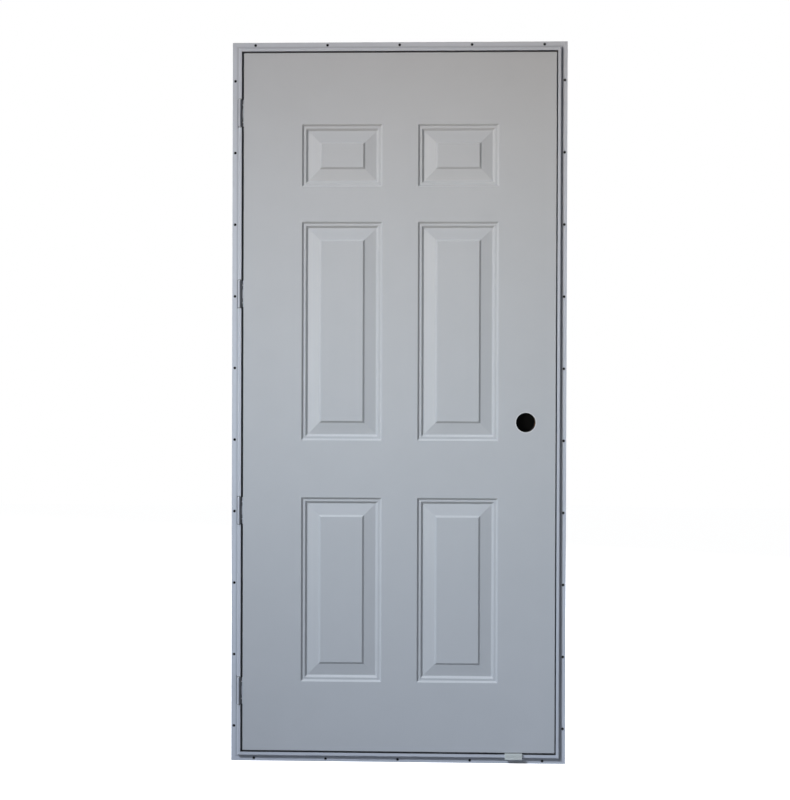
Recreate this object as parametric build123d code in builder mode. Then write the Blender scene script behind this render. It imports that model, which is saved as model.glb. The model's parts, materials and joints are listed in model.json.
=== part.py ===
"""Six-panel outswing steel entry door hung on four hinges in a flanged aluminium frame."""

import os
from math import atan2, degrees, sqrt

from build123d import *

os.makedirs("parts", exist_ok=True)

# Door slab: the width and height are those of the visible face, lip included
door_width = 863.6
door_height = 1930.4
door_thickness = 44.45
lip_overhang = 12.7
lip_thickness = 8.0
sheet = 0.6
inner_fold = 9.0
timber_width = 30.0

# Clear gaps between the slab's edge and the raised face of the frame
hinge_gap = 6.0
lock_gap = 3.0
head_gap = 5.0
sill_gap = 5.0

# Frame section, measured inward from its outer edge and back from its front face
flange_width = 17.6
raised_width = 9.4
raised_depth = 12.5
raised_chamfer = 2.4
raised_wall = 1.2
web = 1.8
ledge_width = 12.7
leg_depth = 50.8
leg_return = 8.0
key_arm = 48.0

# Weather seal and the two ribs that hold it on the ledge
rib_inset = 6.0
rib_width = 1.0
rib_height = 1.4
seal_foot = 4.0
seal_fin = 1.2
seal_clearance = 0.3
seal_break = 3.0

# Screw holes through the nailing flange
hole_radius = 3.0
hole_edge = 7.5
head_hole_count = 5
head_hole_end = 63.3
jamb_hole_count = 10
jamb_hole_low = 97.0
jamb_hole_high = 106.4

# Panel layout on the slab: the pressing sits a little toward the lock edge
panel_offset = 1.8
side_margin = 159.9
mullion = 98.0
bottom_margin = 192.5
lock_rail = 158.0
upper_rail = 96.9
top_margin = 197.1
panel_height_shares = (0.3965, 0.4698, 0.1337)

# Pressed moulding round each panel, from its outer edge inward
bead_run = 5.0
bead_depth = 5.2
land_width = 5.8
groove_run = 5.5
groove_depth = 10.8
groove_floor = 2.2
bevel_run = 30.0
bevel_rise = 5.4
step_run = 5.4
step_rise = 4.7

# Lockset and latch bores and the strike slot
bore_radius = 27.0
backset = 69.85
bore_height = 911.5
latch_radius = 12.7
block_width = 92.0
block_height = 180.0
strike_height = 30.0
strike_width = 14.0

# Hinges
hinge_height_shares = (0.0856, 0.3446, 0.6554, 0.9144)
hinge_height = 73.0
knuckle_count = 3
knuckle_gap = 0.4
leaf = 1.6
pin_radius = 1.7
pin_running = 0.05
axis_inset = 5.6
axis_forward = 1.5
strap_depth = 4.2
pin_tip = 1.2
swing_clearance = 0.5
frame_leaf_back = 0.5
door_leaf_run = 28.0
frame_screw_radius = 2.3
door_screw_radius = 3.8
screw_head = 1.1
screw_spread = 24.0

# Plastic clip pressed over the sill's raised face
clip_width = 47.5
clip_center = 750.0
clip_rise = 6.0
clip_overhang = 3.1
clip_leg = 1.6
clip_leg_depth = 8.0
clip_groove = 1.2
clip_bar = 5.0
clip_clearance = 0.6
clip_round = 0.8

# Places worked out from the sizes above
border = flange_width + raised_width
ledge_end = border + ledge_width
frame_width = door_width + hinge_gap + lock_gap + 2 * border
frame_height = door_height + head_gap + sill_gap + 2 * border
frame_left = -frame_width / 2
frame_right = frame_width / 2
raised_left = frame_left + border
face = -web - raised_depth
slab_left = raised_left + hinge_gap
slab_right = slab_left + door_width
slab_bottom = border + sill_gap
slab_top = slab_bottom + door_height
slab_middle = (slab_left + slab_right) / 2
slab_center = (slab_bottom + slab_top) / 2
body_left = slab_left + lip_overhang
body_right = slab_right - lip_overhang
body_width = door_width - 2 * lip_overhang
body_height = door_height - 2 * lip_overhang
lip_back = face + lip_thickness
door_back = face + door_thickness
bore_x = body_right - backset
bore_z = slab_bottom + bore_height
latch_y = (face + door_back) / 2
axis_x = raised_left - axis_inset
axis_y = face - axis_forward
barrel_radius = pin_radius + leaf
knuckle = hinge_height / knuckle_count
hinge_levels = [slab_bottom + share * door_height for share in hinge_height_shares]
LOW = (Align.MIN, Align.MIN, Align.MIN)
LOW_FLAT = (Align.MIN, Align.MIN)


def block(x_low, x_high, y_low, y_high, z_low, z_high, mode=Mode.ADD):
    """A box between two corners."""
    with Locations((x_low, y_low, z_low)):
        Box(x_high - x_low, y_high - y_low, z_high - z_low, align=LOW, mode=mode)


def patch(x_low, x_high, y_low, y_high, mode=Mode.ADD):
    """A sketch rectangle between two corners."""
    with Locations((x_low, y_low)):
        Rectangle(x_high - x_low, y_high - y_low, align=LOW_FLAT, mode=mode)


# Frame: one extruded section on all four sides, mitred at the corners
with BuildSketch() as frame_section:
    patch(0, ledge_end, -web, 0)
    raised_edge = [(flange_width, face + raised_chamfer), (flange_width + raised_chamfer, face)]
    Polygon((flange_width, -web), *raised_edge, (border, face), (border, -web), align=None)
    hollow_out = flange_width + raised_wall
    hollow_in = border - raised_wall
    hollow_front = face + raised_wall
    hollow_chamfer = raised_chamfer - raised_wall * (2 - sqrt(2))
    hollow_edge = [(hollow_out, hollow_front + hollow_chamfer), (hollow_out + hollow_chamfer, hollow_front)]
    hollow_end = [(hollow_in, hollow_front), (hollow_in, -web)]
    Polygon((hollow_out, -web), *hollow_edge, *hollow_end, align=None, mode=Mode.SUBTRACT)
    rib_low = border + rib_inset
    rib_high = rib_low + rib_width + seal_foot
    patch(rib_low, rib_low + rib_width, -web - rib_height, -web)
    patch(rib_high, rib_high + rib_width, -web - rib_height, -web)
    patch(ledge_end - web, ledge_end, 0, leg_depth)
    patch(ledge_end - leg_return, ledge_end, leg_depth - web, leg_depth)

with BuildSketch() as seal_section:
    foot_low = rib_low + rib_width
    foot_high = foot_low + seal_foot
    foot_face = -web - rib_height
    fin_tip = lip_back + seal_clearance
    patch(foot_low, foot_high, foot_face, -web)
    fin_root = [(foot_low, foot_face), (foot_low + seal_fin, foot_face)]
    fin_edge = [(foot_high, fin_tip), (foot_high - seal_fin, fin_tip)]
    Polygon(*fin_root, *fin_edge, align=None)

head_plane = Plane((0, 0, frame_height), x_dir=(0, 0, -1), z_dir=(1, 0, 0))
sill_plane = Plane((0, 0, 0), x_dir=(0, 0, 1), z_dir=(-1, 0, 0))
hinge_plane = Plane((frame_left, 0, frame_height / 2), x_dir=(1, 0, 0), z_dir=(0, 0, 1))
strike_plane = Plane((frame_right, 0, frame_height / 2), x_dir=(-1, 0, 0), z_dir=(0, 0, -1))

low_left = (frame_left, 0)
low_right = (frame_right, 0)
high_left = (frame_left, frame_height)
high_right = (frame_right, frame_height)
inner_low_left = (frame_left + ledge_end, ledge_end)
inner_low_right = (frame_right - ledge_end, ledge_end)
inner_high_left = (frame_left + ledge_end, frame_height - ledge_end)
inner_high_right = (frame_right - ledge_end, frame_height - ledge_end)
head_mitre = (high_left, high_right, inner_high_right, inner_high_left)
sill_mitre = (low_left, low_right, inner_low_right, inner_low_left)
hinge_mitre = (low_left, high_left, inner_high_left, inner_low_left)
strike_mitre = (low_right, high_right, inner_high_right, inner_low_right)


def run_side(section, plane, length, mitre):
    """A section run along one side of the frame and cut to its mitres."""
    with BuildSketch(plane) as side:
        add(section.sketch)
    extrude(side.sketch, amount=length / 2, both=True)
    with BuildSketch(Plane.XZ) as outline:
        Polygon(*mitre, align=None)
    extrude(outline.sketch, amount=leg_depth + web, both=True, mode=Mode.INTERSECT)


def flange_holes(places):
    """Screw holes through the nailing flange at these places."""
    with Locations(*[(x, 0, z) for x, z in places]):
        Cylinder(hole_radius, 4 * web, rotation=(90, 0, 0), mode=Mode.SUBTRACT)


head_pitch = (frame_width - 2 * head_hole_end) / (head_hole_count - 1)
row_places = [frame_left + head_hole_end + step * head_pitch for step in range(head_hole_count)]
jamb_pitch = (frame_height - jamb_hole_low - jamb_hole_high) / (jamb_hole_count - 1)
jamb_places = [jamb_hole_low + step * jamb_pitch for step in range(jamb_hole_count)]

with BuildPart() as frame_head:
    run_side(frame_section, head_plane, frame_width, head_mitre)
    flange_holes([(x, frame_height - hole_edge) for x in row_places])

with BuildPart() as frame_sill:
    run_side(frame_section, sill_plane, frame_width, sill_mitre)
    flange_holes([(x, hole_edge) for x in row_places])

# The hinge jamb's raised face is notched right across for each barrel
strap_front = face + strap_depth
strap_back = strap_front + leaf
notch_back = strap_back + swing_clearance
with BuildPart() as hinge_jamb:
    run_side(frame_section, hinge_plane, frame_height, hinge_mitre)
    flange_holes([(frame_left + hole_edge, z) for z in jamb_places])
    notch_left = frame_left + flange_width
    notch_half = hinge_height / 2 + pin_tip + swing_clearance
    for level in hinge_levels:
        block(notch_left, raised_left, face, notch_back, level - notch_half, level + notch_half, Mode.SUBTRACT)

# The strike jamb's leg is slotted for the latch bolt
with BuildPart() as strike_jamb:
    run_side(frame_section, strike_plane, frame_height, strike_mitre)
    flange_holes([(frame_right - hole_edge, z) for z in jamb_places])
    with Locations((frame_right - ledge_end + web / 2, latch_y, bore_z)):
        Box(2 * web, strike_width, strike_height, mode=Mode.SUBTRACT)

# Corner keys fill the hollow of the raised face and hold the mitres together
with BuildPart() as corner_keys:
    key_end = hollow_out + key_arm
    key_front = hollow_front + hollow_chamfer
    block(frame_left + hollow_out, frame_left + key_end, key_front, -web, hollow_out, hollow_in)
    block(frame_left + hollow_out, frame_left + hollow_in, key_front, -web, hollow_out, key_end)
    mirror(about=Plane.YZ)
    mirror(about=Plane.XY.offset(frame_height / 2))

# Fin seals on the ledge, the hinge side broken at each hinge
with BuildPart() as head_seal:
    run_side(seal_section, head_plane, frame_width, head_mitre)

with BuildPart() as sill_seal:
    run_side(seal_section, sill_plane, frame_width, sill_mitre)

with BuildPart() as strike_seal:
    run_side(seal_section, strike_plane, frame_height, strike_mitre)

with BuildPart() as hinge_seal:
    run_side(seal_section, hinge_plane, frame_height, hinge_mitre)
    break_half = hinge_height / 2 + seal_break
    for level in hinge_levels:
        block(raised_left, body_left, face, 0, level - break_half, level + break_half, Mode.SUBTRACT)

# Clip over the sill's raised face, with a leg down the gap behind it
with BuildPart() as sill_clip:
    clip_low = flange_width - clip_overhang
    clip_high = slab_bottom - clip_clearance
    clip_front = face - clip_rise
    clip_middle = (clip_low + clip_high) / 2
    with BuildSketch(Plane.YZ.offset(slab_left + clip_center)):
        patch(clip_front, face, clip_low, clip_high)
        patch(face, face + clip_leg_depth, border, border + clip_leg)
        for level in (clip_middle - clip_bar / 2, clip_middle + clip_bar / 2):
            with Locations((clip_front, level)):
                Rectangle(2 * clip_groove, clip_groove, mode=Mode.SUBTRACT)
    extrude(amount=clip_width / 2, both=True)
    front_face = sill_clip.faces().filter_by(Axis.Y).sort_by(Axis.Y)[0]
    fillet(front_face.edges(), clip_round)


# Pressed panels: a pocket with a beaded rim, a groove and a raised field
def panel_pocket(width, height):
    """The hollow of one panel, its mouth on the XY plane and its depth along Z."""
    groove_out = bead_run + land_width
    floor_end = groove_out + groove_run + groove_floor
    step_out = floor_end + bevel_run
    with BuildPart() as field:
        with BuildSketch():
            Rectangle(width - 2 * floor_end, height - 2 * floor_end)
        extrude(amount=bevel_rise, taper=degrees(atan2(bevel_run, bevel_rise)))
        with BuildSketch(Plane.XY.offset(bevel_rise)):
            Rectangle(width - 2 * step_out, height - 2 * step_out)
        extrude(amount=step_rise, taper=degrees(atan2(step_run, step_rise)))
    with BuildPart() as pocket:
        with BuildSketch():
            Rectangle(width, height)
        extrude(amount=bead_depth, taper=degrees(atan2(bead_run, bead_depth)))
        with BuildSketch(Plane.XY.offset(bead_depth)):
            Rectangle(width - 2 * groove_out, height - 2 * groove_out)
        groove_wall = groove_depth - bead_depth
        extrude(amount=groove_wall, taper=degrees(atan2(groove_run, groove_wall)))
        with Locations(Plane((0, 0, groove_depth), z_dir=(0, 0, -1))):
            add(field.part, mode=Mode.SUBTRACT)
    return pocket.part


panel_width = (door_width - 2 * side_margin - mullion) / 2
column_reach = (panel_width + mullion) / 2
panel_columns = [slab_middle + panel_offset + side * column_reach for side in (-1, 1)]
panel_space = door_height - bottom_margin - lock_rail - upper_rail - top_margin
panel_heights = [share * panel_space for share in panel_height_shares]
bottom_level = slab_bottom + bottom_margin
middle_level = bottom_level + panel_heights[0] + lock_rail
top_level = middle_level + panel_heights[1] + upper_rail
panel_levels = (bottom_level, middle_level, top_level)
pockets = [panel_pocket(panel_width, height) for height in panel_heights]


def press_panels(depth, inward, mode):
    """All six pockets, their mouths at this depth and sunk this way."""
    for pocket, height, level in zip(pockets, panel_heights, panel_levels):
        centers = [(x, depth, level + height / 2) for x in panel_columns]
        with Locations(*[Plane(spot, x_dir=(1, 0, 0), z_dir=(0, inward, 0)) for spot in centers]):
            add(pocket, mode=mode)


def bore_through(mode=Mode.SUBTRACT):
    """The lockset bore, right through the slab."""
    with Locations((bore_x, latch_y, bore_z)):
        Cylinder(bore_radius, 2 * door_thickness, rotation=(90, 0, 0), mode=mode)


def latch_through():
    """The latch bore, from the lock edge to the lockset bore."""
    with Locations(((bore_x + slab_right) / 2, latch_y, bore_z)):
        Cylinder(latch_radius, slab_right - bore_x, rotation=(0, 90, 0), mode=Mode.SUBTRACT)


# Outer skin: pressed sheet, folded round the lip and back to the body
with BuildPart() as outer_skin:
    block(slab_left, slab_right, face, lip_back, slab_bottom, slab_top)
    block(
        slab_left + sheet, slab_right - sheet, face + sheet, lip_back - sheet,
        slab_bottom + sheet, slab_top - sheet, Mode.SUBTRACT,
    )
    with Locations((slab_middle, lip_back, slab_center)):
        Box(body_width, 2 * sheet, body_height, mode=Mode.SUBTRACT)
    press_panels(face + sheet, 1, Mode.ADD)
    press_panels(face, 1, Mode.SUBTRACT)
    bore_through()

# Inner skin: the same pressing, its edge folded over the timber
with BuildPart() as inner_skin:
    with Locations((slab_middle, door_back - inner_fold / 2, slab_center)):
        Box(body_width, inner_fold, body_height)
    with Locations((slab_middle, door_back - inner_fold / 2 - sheet, slab_center)):
        Box(body_width - 2 * sheet, inner_fold, body_height - 2 * sheet, mode=Mode.SUBTRACT)
    press_panels(door_back - sheet, -1, Mode.ADD)
    press_panels(door_back, -1, Mode.SUBTRACT)
    bore_through()

# Timber edge: rabbeted stiles and rails inside the two skins
with BuildPart() as timber_edge:
    with Locations((slab_middle, (face + lip_back) / 2, slab_center)):
        Box(door_width - 2 * sheet, lip_thickness - 2 * sheet, door_height - 2 * sheet)
    fold_level = door_back - inner_fold
    with Locations((slab_middle, (face + sheet + fold_level) / 2, slab_center)):
        Box(body_width, fold_level - face - sheet, body_height)
    with Locations((slab_middle, (fold_level + door_back - sheet) / 2, slab_center)):
        Box(body_width - 2 * sheet, inner_fold - sheet, body_height - 2 * sheet)
    core_width = body_width - 2 * timber_width
    core_height = body_height - 2 * timber_width
    with Locations((slab_middle, latch_y, slab_center)):
        Box(core_width, 2 * door_thickness, core_height, mode=Mode.SUBTRACT)
    latch_through()

core_left = body_left + timber_width
core_right = body_right - timber_width
core_bottom = slab_bottom + lip_overhang + timber_width
core_top = slab_top - lip_overhang - timber_width

with BuildPart() as hinge_stile:
    add(timber_edge.part)
    block(slab_left, core_left, face, door_back, slab_bottom, slab_top, Mode.INTERSECT)

with BuildPart() as lock_stile:
    add(timber_edge.part)
    block(core_right, slab_right, face, door_back, slab_bottom, slab_top, Mode.INTERSECT)

with BuildPart() as top_rail:
    add(timber_edge.part)
    block(core_left, core_right, face, door_back, core_top, slab_top, Mode.INTERSECT)

with BuildPart() as bottom_rail:
    add(timber_edge.part)
    block(core_left, core_right, face, door_back, slab_bottom, core_bottom, Mode.INTERSECT)

# Lock block: timber round the lockset bore, against the lock stile
block_low = bore_z - block_height / 2
block_high = bore_z + block_height / 2
with BuildPart() as lock_block:
    block(core_right - block_width, core_right, face + sheet, door_back - sheet, block_low, block_high)
    bore_through()
    latch_through()

# Foam core: fills the slab between the skins
with BuildPart() as foam_core:
    block(core_left, core_right, face + sheet, door_back - sheet, core_bottom, core_top)
    block(core_right - block_width, core_right, face, door_back, block_low, block_high, Mode.SUBTRACT)
    press_panels(face + sheet, 1, Mode.SUBTRACT)
    press_panels(door_back - sheet, -1, Mode.SUBTRACT)

# Hinges: knuckles on necks that run back from the barrel to straps deep in the gap
neck_left = axis_x + pin_radius
neck_right = axis_x + barrel_radius
leaf_edge = raised_left + leaf
frame_leaf_end = -web - frame_leaf_back
door_leaf_end = lip_back + door_leaf_run

with BuildSketch() as frame_curl:
    with Locations((axis_x, axis_y)):
        Circle(barrel_radius)
    patch(neck_left, neck_right, axis_y, strap_back)
    patch(neck_left, leaf_edge, strap_front, strap_back)
    patch(raised_left, leaf_edge, strap_front, notch_back)
    with Locations((axis_x, axis_y)):
        Circle(pin_radius, mode=Mode.SUBTRACT)

with BuildSketch() as door_curl:
    with Locations((axis_x, axis_y)):
        Circle(barrel_radius)
    patch(neck_left, neck_right, axis_y, strap_back)
    patch(neck_left, slab_left, strap_front, strap_back)
    with Locations((axis_x, axis_y)):
        Circle(pin_radius + pin_running, mode=Mode.SUBTRACT)

with BuildSketch() as wrap:
    patch(slab_left - leaf, slab_left, face, lip_back + leaf)
    patch(slab_left - leaf, body_left, lip_back, lip_back + leaf)
    patch(body_left - leaf, body_left, lip_back, door_leaf_end)


def curls(section, low, first):
    """Every second knuckle of a hinge, starting with this one."""
    for turn in range(first, knuckle_count, 2):
        with BuildSketch(Plane.XY.offset(low + turn * knuckle + knuckle_gap / 2)) as curl:
            add(section.sketch)
        extrude(curl.sketch, amount=knuckle - knuckle_gap)


hinge_pieces = []
for number, level in enumerate(hinge_levels, start=1):
    low = level - hinge_height / 2
    high = level + hinge_height / 2

    with BuildPart() as frame_leaf:
        curls(frame_curl, low, 0)
        block(raised_left, leaf_edge, notch_back, frame_leaf_end, low, high)

    with BuildPart() as door_leaf:
        curls(door_curl, low, 1)
        with BuildSketch(Plane.XY.offset(low)):
            add(wrap.sketch)
        extrude(amount=hinge_height)

    with BuildPart() as hinge_pin:
        with Locations((axis_x, axis_y, level)):
            Cylinder(pin_radius, hinge_height + 2 * pin_tip)

    frame_leaf.part.label = f"hinge_{number}_frame_leaf"
    door_leaf.part.label = f"hinge_{number}_door_leaf"
    hinge_pin.part.label = f"hinge_{number}_pin"
    hinge_pieces += [frame_leaf.part, door_leaf.part, hinge_pin.part]


# Hex screw heads on each frame leaf and each door leaf
def screw_heads(radius, start, facing, depth, sides):
    """Heads that stand off a leaf this way, at these sides of each hinge's middle."""
    spots = [(start, depth, level + side * screw_spread) for level in hinge_levels for side in sides]
    for spot in spots:
        with BuildSketch(Plane(spot, x_dir=(0, 0, 1), z_dir=(facing, 0, 0))) as head:
            RegularPolygon(radius, side_count=6)
        extrude(head.sketch, amount=screw_head)


with BuildPart() as frame_screws:
    screw_heads(frame_screw_radius, leaf_edge, 1, (notch_back + frame_leaf_end) / 2, (-1, 1))

with BuildPart() as door_screws:
    screw_heads(door_screw_radius, body_left - leaf, -1, (lip_back + leaf + door_leaf_end) / 2, (-1, 0, 1))

frame_head.part.label = "frame_head"
frame_sill.part.label = "frame_sill"
hinge_jamb.part.label = "hinge_jamb"
strike_jamb.part.label = "strike_jamb"
corner_keys.part.label = "corner_keys"
head_seal.part.label = "head_seal"
sill_seal.part.label = "sill_seal"
strike_seal.part.label = "strike_seal"
hinge_seal.part.label = "hinge_seal"
sill_clip.part.label = "sill_clip"
frame_screws.part.label = "frame_screws"
outer_skin.part.label = "outer_skin"
inner_skin.part.label = "inner_skin"
hinge_stile.part.label = "hinge_stile"
lock_stile.part.label = "lock_stile"
top_rail.part.label = "top_rail"
bottom_rail.part.label = "bottom_rail"
lock_block.part.label = "lock_block"
foam_core.part.label = "foam_core"
door_screws.part.label = "door_screws"

frame_pieces = [frame_head, frame_sill, hinge_jamb, strike_jamb, corner_keys]
trim_pieces = [head_seal, sill_seal, strike_seal, hinge_seal, sill_clip, frame_screws]
door_pieces = [outer_skin, inner_skin, hinge_stile, lock_stile, top_rail, bottom_rail]
core_pieces = [lock_block, foam_core, door_screws]
for piece in frame_pieces + trim_pieces + door_pieces + core_pieces:
    export_step(piece.part, f"parts/{piece.part.label}.step")
for solid in hinge_pieces:
    export_step(solid, f"parts/{solid.label}.step")
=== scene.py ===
"""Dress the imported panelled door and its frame: pressed skins, paint, timber, hinges and the stage."""

import json
from math import cos, pi, radians, sin, tan

import bmesh
import bpy
from bpy.props import FloatProperty, FloatVectorProperty, PointerProperty
from mathutils import Matrix, Vector


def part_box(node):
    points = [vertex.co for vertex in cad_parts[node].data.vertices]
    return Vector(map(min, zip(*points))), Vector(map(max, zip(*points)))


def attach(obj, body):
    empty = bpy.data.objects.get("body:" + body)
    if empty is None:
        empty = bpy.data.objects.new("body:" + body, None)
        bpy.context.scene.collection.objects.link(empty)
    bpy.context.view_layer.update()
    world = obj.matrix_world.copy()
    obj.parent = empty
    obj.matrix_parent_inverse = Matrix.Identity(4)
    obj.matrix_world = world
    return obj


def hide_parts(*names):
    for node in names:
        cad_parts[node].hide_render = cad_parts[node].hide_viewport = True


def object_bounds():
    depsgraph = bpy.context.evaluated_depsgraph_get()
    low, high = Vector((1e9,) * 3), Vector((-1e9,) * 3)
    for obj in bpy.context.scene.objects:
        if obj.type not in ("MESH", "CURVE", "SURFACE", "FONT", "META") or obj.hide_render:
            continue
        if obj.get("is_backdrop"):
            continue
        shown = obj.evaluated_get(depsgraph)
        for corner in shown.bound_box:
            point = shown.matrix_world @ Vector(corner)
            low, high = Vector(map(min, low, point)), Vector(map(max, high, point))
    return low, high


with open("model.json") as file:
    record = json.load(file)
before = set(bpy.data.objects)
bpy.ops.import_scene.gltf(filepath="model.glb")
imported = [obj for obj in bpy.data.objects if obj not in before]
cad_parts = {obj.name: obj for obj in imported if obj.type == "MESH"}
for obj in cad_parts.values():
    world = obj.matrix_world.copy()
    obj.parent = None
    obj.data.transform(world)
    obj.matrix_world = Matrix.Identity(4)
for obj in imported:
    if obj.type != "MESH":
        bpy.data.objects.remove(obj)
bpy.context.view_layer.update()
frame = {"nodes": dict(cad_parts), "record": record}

bl_info = {
    "name": "Panelled door dressing",
    "version": (1, 0, 0),
    "blender": (4, 5, 0),
    "location": "3D View > Sidebar > Door",
    "description": "Presses the skins and paints the packed panelled door and its frame",
    "category": "Object",
}


def corners_of(name):
    """The low and high corners of a CAD node's box."""
    return tuple(Vector(corner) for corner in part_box(name))


# Counts, limits of the edge rounding, and defaults of the joints' painted shade
hinge_count = 4
bore_segments = 72
weld_reach = 0.000001
flat_angle = radians(0.5)
sharp_angle = radians(40)
joint_feather = 0.001
far_reach = 1.0

# Turned profiles as shares of radius and height
button_profile_shares = ((1.0, 0.0), (1.0, 0.35), (0.9, 0.7), (0.7, 0.9), (0.3, 1.0))
# The second profile is the near-black disc in the lockset bore, which is painted shade
shade_disc_profile_shares = ((1.0, 0.0), (1.0, 0.8), (0.97, 1.0), (0.9, 1.0), (0.88, 0.6))

# Places read from the frame
slab_low, slab_high = corners_of("outer_skin")
body_low, body_high = corners_of("inner_skin")
frame_low, frame_high = (Vector(corner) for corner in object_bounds())
lockset = next(mount for mount in frame["record"]["mounts"] if mount["name"] == "lockset_bore")
bore_center = Vector(lockset["pos_m"])
bore_radius = lockset["dims"]["r_mm"] / 1000


# Kinds of setting
def length(name, description, default):
    """A length in metres."""
    return FloatProperty(
        name=name, description=description, default=default, unit="LENGTH", precision=4)


def colour(name, description, default):
    """A linear colour."""
    return FloatVectorProperty(
        name=name, description=description, default=default, subtype="COLOR", size=3, min=0, max=1)


def share(name, description, default):
    """A number from nothing to all."""
    return FloatProperty(
        name=name, description=description, default=default, min=0, max=1, subtype="FACTOR")


def position(name, description, default):
    """A place in the scene."""
    return FloatVectorProperty(
        name=name, description=description, default=default, size=3, subtype="TRANSLATION",
        unit="LENGTH")


def extent(name, description, default):
    """The width and height of a lamp."""
    return FloatVectorProperty(
        name=name, description=description, default=default, size=2, unit="LENGTH")


def triple(name, description, default, unit="NONE"):
    """A value for each of the low, middle and high key lamps."""
    return FloatVectorProperty(
        name=name, description=description, default=default, size=3, unit=unit)


def power(name, description, default):
    """The power of a lamp in watts."""
    return FloatProperty(name=name, description=description, default=default, min=0, unit="POWER")


class PressingSizes(bpy.types.PropertyGroup):
    """Sizes of the two pressed steel skins."""

    panel_offset: length("Panel offset", "Shift of the panels toward the lock", 0.0018)
    side_margin: length("Side margin", "Width of the outer stiles", 0.1599)
    mullion: length("Mullion", "Width of the middle upright", 0.098)
    bottom_margin: length("Bottom margin", "Height of the bottom rail", 0.1925)
    lock_rail: length("Lock rail", "Height of the rail beside the lockset", 0.158)
    upper_rail: length("Upper rail", "Height of the rail under the top panels", 0.0969)
    top_margin: length("Top margin", "Height of the top rail", 0.1971)
    panel_height_shares: FloatVectorProperty(
        name="Panel height shares", description="Bottom, middle and top panels' shares",
        default=(0.3965, 0.4698, 0.1337), size=3, min=0, max=1)
    bead_run: length("Bead run", "Width of the sloped rim of a panel", 0.005)
    bead_depth: length("Bead depth", "Depth of the sloped rim", 0.0052)
    land_width: length("Land width", "Width of the flat inside the rim", 0.0058)
    groove_run: length("Groove run", "Width of the groove's sloped wall", 0.0055)
    groove_depth: length("Groove depth", "Depth of the groove's floor", 0.0108)
    groove_floor: length("Groove floor", "Width of the groove's floor", 0.0022)
    bevel_run: length("Bevel run", "Width of the bevel up to the field", 0.03)
    bevel_rise: length("Bevel rise", "Rise of the bevel", 0.0054)
    step_run: length("Step run", "Width of the step round the field", 0.0054)
    step_rise: length("Step rise", "Rise of the step", 0.0047)
    lip_thickness: length("Lip thickness", "Depth of the outer skin's folded lip", 0.008)
    lip_overhang: length("Lip overhang", "Width of the fold behind the lip", 0.0127)
    inner_fold: length("Inner fold", "Depth of the inner skin's fold", 0.009)
    sheet: length("Sheet", "Thickness of the steel sheet", 0.0006)
    press_radius: length("Press radius", "Radius of the pressed bends", 0.0008)
    fold_radius: length("Fold radius", "Radius of the folded outer edges", 0.0018)
    corner_radius: length("Corner radius", "Radius of a moulding's corners", 0.0016)


class Finishes(bpy.types.PropertyGroup):
    """Colours and gloss of the finishes."""

    door_paint: colour("Door paint", "Light grey enamel of the skins", (0.44, 0.455, 0.475))
    frame_paint: colour("Frame paint", "Enamel of the frame and hinges", (0.475, 0.5, 0.55))
    paint_roughness: share("Paint roughness", "Roughness of the enamel", 0.46)
    gloss_drift: share("Gloss drift", "How far that roughness drifts", 0.07)
    paint_gloss: share("Paint gloss", "Specular level of the enamel", 0.3)
    peel_depth: length("Peel depth", "Height of the enamel's ripple", 0.00004)
    # Partly dusting, partly painted highlight: a pale tint on faces that look up
    dust_and_highlight: colour("Dust", "Pale dust on surfaces that face up", (0.74, 0.74, 0.73))
    # Painted shade: a near-black tint laid where the frame's joints, gap, notches, hole rims and hinge
    # leaves fall in shade
    painted_shade: colour("Dirt", "Dirt in the joints and on the hinge straps", (0.03, 0.03, 0.032))
    # Painted shade at the foot of the raised face, where the raised wall shades the flange
    foot_shade: share("Foot dirt", "Dirt at the foot of the raised face", 0.4)
    # Painted shade in the gap round the door, which lies in shade
    gap_shade: share("Gap dirt", "Dirt in the gap round the door", 0.92)
    # Painted shade in the hinges' notches, beside the barrels
    notch_shade: share("Notch dirt", "Dirt in the hinges' notches", 0.6)
    # Painted shade round the flange's holes, so that they read dark
    hole_ring_shade: share("Hole dirt", "Dirt round the flange's holes", 0.9)
    timber: colour("Timber", "Bare softwood", (0.43, 0.25, 0.12))
    timber_grain: colour("Timber grain", "Dark bands of the softwood", (0.24, 0.12, 0.05))
    grain_depth: length("Grain depth", "Height of the softwood's fibres", 0.0003)
    foam: colour("Foam", "Core foam", (0.78, 0.7, 0.5))
    cell_depth: length("Cell depth", "Depth of the foam's cells", 0.0004)
    rubber: colour("Rubber", "Weather seals", (0.012, 0.012, 0.014))
    rubber_dust: colour("Rubber dust", "Dust on the rubber", (0.3, 0.29, 0.27))
    bloom_depth: length("Bloom depth", "Height of the rubber's bloom", 0.00005)
    clip: colour("Clip", "Moulded clip", (0.56, 0.59, 0.57))
    clip_dust: colour("Clip dust", "Dust on the clip", (0.4, 0.36, 0.3))
    satin_depth: length("Satin depth", "Height of the clip's satin grain", 0.00003)
    # Painted shade: near-black timber round the lockset bore, where the bore lies in shade
    bore_timber_shade: colour("Bore wall", "Sealed timber in the lockset bore", (0.02, 0.01, 0.008))
    # Painted highlight: a lighter ring round the bore's edge
    bore_edge_highlight: colour("Bore rim", "Clean primer kept round the bore", (0.6, 0.61, 0.62))
    # Painted shade: the near-black disc that fills the empty lockset bore
    bore_shade_black: colour("Bore black", "Cap in the lockset bore", (0.003, 0.003, 0.003))
    steel: colour("Steel", "Zinc plated screws and pins", (0.55, 0.56, 0.57))
    aluminium: colour("Aluminium", "Mill finish corner keys", (0.66, 0.67, 0.68))
    drawn_depth: length("Drawn depth", "Height of the metal's drawn lines", 0.00001)


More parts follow.
